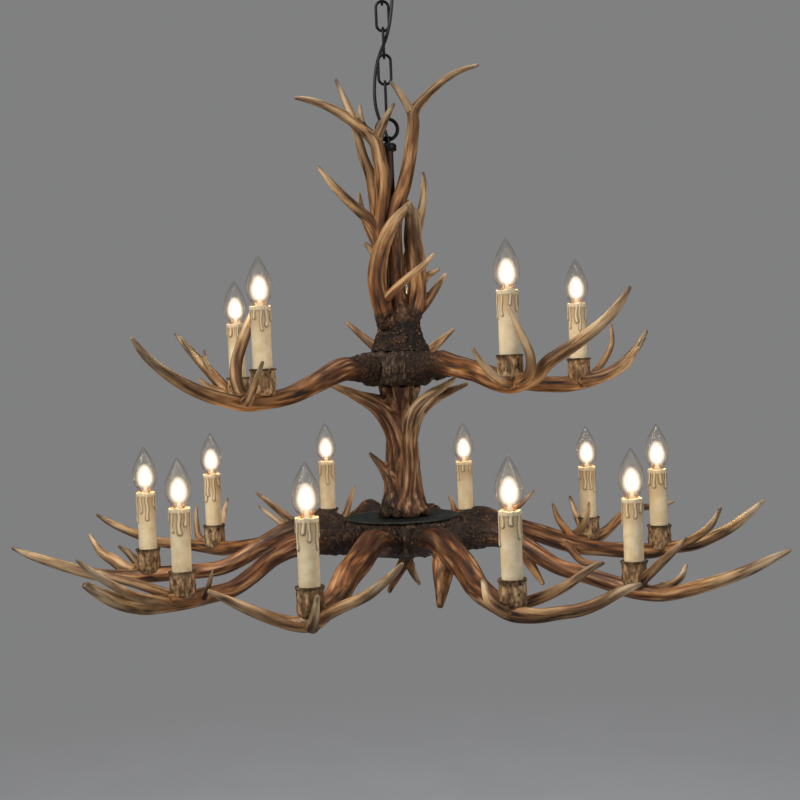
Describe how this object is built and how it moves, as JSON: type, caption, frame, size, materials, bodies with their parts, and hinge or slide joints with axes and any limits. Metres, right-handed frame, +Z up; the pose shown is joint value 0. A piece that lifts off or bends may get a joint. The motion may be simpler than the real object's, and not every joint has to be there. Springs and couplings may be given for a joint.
{
  "type": "antler ceiling light",
  "caption": "Two-tier antler chandelier: antler arms with candle lamps round a bark-covered column of antlers, hung on a chain from a ceiling canopy.",
  "frame": {"origin": "middle of the ceiling bracket's top face, between its two screw holes, on the ceiling", "axes": "+Z up into the ceiling; the bracket's length along X; the picture is seen from -Y"},
  "size_m": [1.1468, 1.0684, 1.0159],
  "materials": {
    "antler": "satin, grooved",
    "bark": "rough, fluted",
    "black_metal": "satin",
    "brown_metal": "satin",
    "plated_steel": "plated",
    "sleeve": "waxy satin",
    "black_plastic": "matte",
    "white_plastic": "matte",
    "dowel": "plain",
    "bulb_glass": "clear, lit",
    "cord": "matte"
  },
  "bodies": {
    "root": {"ceiling_bracket": "plated_steel", "canopy": "black_metal", "canopy_loop": "black_metal", "lock_nuts": "plated_steel", "terminal_block": "white_plastic", "cord_bushing": "black_plastic", "supply_cord": "cord"},
    "link_1": {"chain_link_1": "black_metal"},
    "link_2": {"chain_link_2": "black_metal"},
    "link_3": {"chain_link_3": "black_metal"},
    "link_4": {"chain_link_4": "black_metal"},
    "link_5": {"chain_link_5": "black_metal"},
    "fixture": {"eye_ring": "black_metal", "stem_cap": "black_metal", "stem": "brown_metal", "lower_hub": "bark", "upper_hub": "bark", "lower_arm_01": "antler", "lower_arm_02": "antler", "lower_arm_03": "antler", "lower_arm_04": "antler", "lower_arm_05": "antler", "lower_arm_06": "antler", "lower_arm_07": "antler", "lower_arm_08": "antler", "lower_arm_09": "antler", "lower_arm_10": "antler", "upper_arm_01": "antler", "upper_arm_02": "antler", "upper_arm_03": "antler", "upper_arm_04": "antler", "upper_arm_05": "antler", "stump": "bark", "column_antler_left": "antler", "column_antler_right": "antler", "column_antler_front": "antler", "column_antler_side": "antler", "column_antler_back": "antler", "antler_dowels": "dowel", "trunk": "bark", "top_plate": "black_metal", "bottom_plate": "black_metal", "bottom_nut": "black_metal", "lamp_holders": "black_plastic", "candle_sleeves": "sleeve"},
    "lower_bulb_01": {"lower_bulb_01": "bulb_glass"},
    "lower_bulb_02": {"lower_bulb_02": "bulb_glass"},
    "lower_bulb_03": {"lower_bulb_03": "bulb_glass"},
    "lower_bulb_04": {"lower_bulb_04": "bulb_glass"},
    "lower_bulb_05": {"lower_bulb_05": "bulb_glass"},
    "lower_bulb_06": {"lower_bulb_06": "bulb_glass"},
    "lower_bulb_07": {"lower_bulb_07": "bulb_glass"},
    "lower_bulb_08": {"lower_bulb_08": "bulb_glass"},
    "lower_bulb_09": {"lower_bulb_09": "bulb_glass"},
    "lower_bulb_10": {"lower_bulb_10": "bulb_glass"},
    "upper_bulb_01": {"upper_bulb_01": "bulb_glass"},
    "upper_bulb_02": {"upper_bulb_02": "bulb_glass"},
    "upper_bulb_03": {"upper_bulb_03": "bulb_glass"},
    "upper_bulb_04": {"upper_bulb_04": "bulb_glass"},
    "upper_bulb_05": {"upper_bulb_05": "bulb_glass"}
  },
  "joints": [
    {"name": "link_1_swing", "type": "hinge", "parent": "root", "child": "link_1", "pos_m": [0, 0, -0.07083], "axis": [1, 0, 0], "range_deg": [-12, 12], "deforming": ["supply_cord"]},
    {"name": "link_2_swing", "type": "hinge", "parent": "link_1", "child": "link_2", "pos_m": [0, 0, -0.11023], "axis": [0, 1, 0], "range_deg": [-12, 12]},
    {"name": "link_3_swing", "type": "hinge", "parent": "link_2", "child": "link_3", "pos_m": [0, 0, -0.15003], "axis": [1, 0, 0], "range_deg": [-12, 12]},
    {"name": "link_4_swing", "type": "hinge", "parent": "link_3", "child": "link_4", "pos_m": [0, 0, -0.18983], "axis": [0, 1, 0], "range_deg": [-12, 12]},
    {"name": "link_5_swing", "type": "hinge", "parent": "link_4", "child": "link_5", "pos_m": [0, 0, -0.22963], "axis": [1, 0, 0], "range_deg": [-12, 12]},
    {"name": "fixture_swing", "type": "hinge", "parent": "link_5", "child": "fixture", "pos_m": [0, 0, -0.28693], "axis": [0, 1, 0], "range_deg": [-8, 8]},
    {"name": "lower_bulb_01_unscrew", "type": "hinge", "parent": "fixture", "child": "lower_bulb_01", "pos_m": [0.13253, -0.38058, -0.91703], "axis": [0, 0, 1], "range_deg": [0, 1260]},
    {"name": "lower_bulb_02_unscrew", "type": "hinge", "parent": "fixture", "child": "lower_bulb_02", "pos_m": [0.31204, -0.21687, -0.92703], "axis": [0, 0, 1], "range_deg": [0, 1260]},
    {"name": "lower_bulb_03_unscrew", "type": "hinge", "parent": "fixture", "child": "lower_bulb_03", "pos_m": [0.38991, 0.00817, -0.91003], "axis": [0, 0, 1], "range_deg": [0, 1260]},
    {"name": "lower_bulb_04_unscrew", "type": "hinge", "parent": "fixture", "child": "lower_bulb_04", "pos_m": [0.31463, 0.23882, -0.92303], "axis": [0, 0, 1], "range_deg": [0, 1260]},
    {"name": "lower_bulb_05_unscrew", "type": "hinge", "parent": "fixture", "child": "lower_bulb_05", "pos_m": [0.11359, 0.37623, -0.91703], "axis": [0, 0, 1], "range_deg": [0, 1260]},
    {"name": "lower_bulb_06_unscrew", "type": "hinge", "parent": "fixture", "child": "lower_bulb_06", "pos_m": [-0.13352, 0.38342, -0.90703], "axis": [0, 0, 1], "range_deg": [0, 1260]},
    {"name": "lower_bulb_07_unscrew", "type": "hinge", "parent": "fixture", "child": "lower_bulb_07", "pos_m": [-0.31778, 0.22087, -0.90803], "axis": [0, 0, 1], "range_deg": [0, 1260]},
    {"name": "lower_bulb_08_unscrew", "type": "hinge", "parent": "fixture", "child": "lower_bulb_08", "pos_m": [-0.38692, -0.0081, -0.91203], "axis": [0, 0, 1], "range_deg": [0, 1260]},
    {"name": "lower_bulb_09_unscrew", "type": "hinge", "parent": "fixture", "child": "lower_bulb_09", "pos_m": [-0.30109, -0.22854, -0.91403], "axis": [0, 0, 1], "range_deg": [0, 1260]},
    {"name": "lower_bulb_10_unscrew", "type": "hinge", "parent": "fixture", "child": "lower_bulb_10", "pos_m": [-0.11821, -0.39154, -0.91403], "axis": [0, 0, 1], "range_deg": [0, 1260]},
    {"name": "upper_bulb_01_unscrew", "type": "hinge", "parent": "fixture", "child": "upper_bulb_01", "pos_m": [0.1499, -0.25755, -0.64003], "axis": [0, 0, 1], "range_deg": [0, 1260]},
    {"name": "upper_bulb_02_unscrew", "type": "hinge", "parent": "fixture", "child": "upper_bulb_02", "pos_m": [0.28345, 0.06128, -0.65203], "axis": [0, 0, 1], "range_deg": [0, 1260]},
    {"name": "upper_bulb_03_unscrew", "type": "hinge", "parent": "fixture", "child": "upper_bulb_03", "pos_m": [0.0288, 0.28354, -0.65003], "axis": [0, 0, 1], "range_deg": [0, 1260]},
    {"name": "upper_bulb_04_unscrew", "type": "hinge", "parent": "fixture", "child": "upper_bulb_04", "pos_m": [-0.25344, 0.11178, -0.66103], "axis": [0, 0, 1], "range_deg": [0, 1260]},
    {"name": "upper_bulb_05_unscrew", "type": "hinge", "parent": "fixture", "child": "upper_bulb_05", "pos_m": [-0.18263, -0.20426, -0.64603], "axis": [0, 0, 1], "range_deg": [0, 1260]}
  ]
}
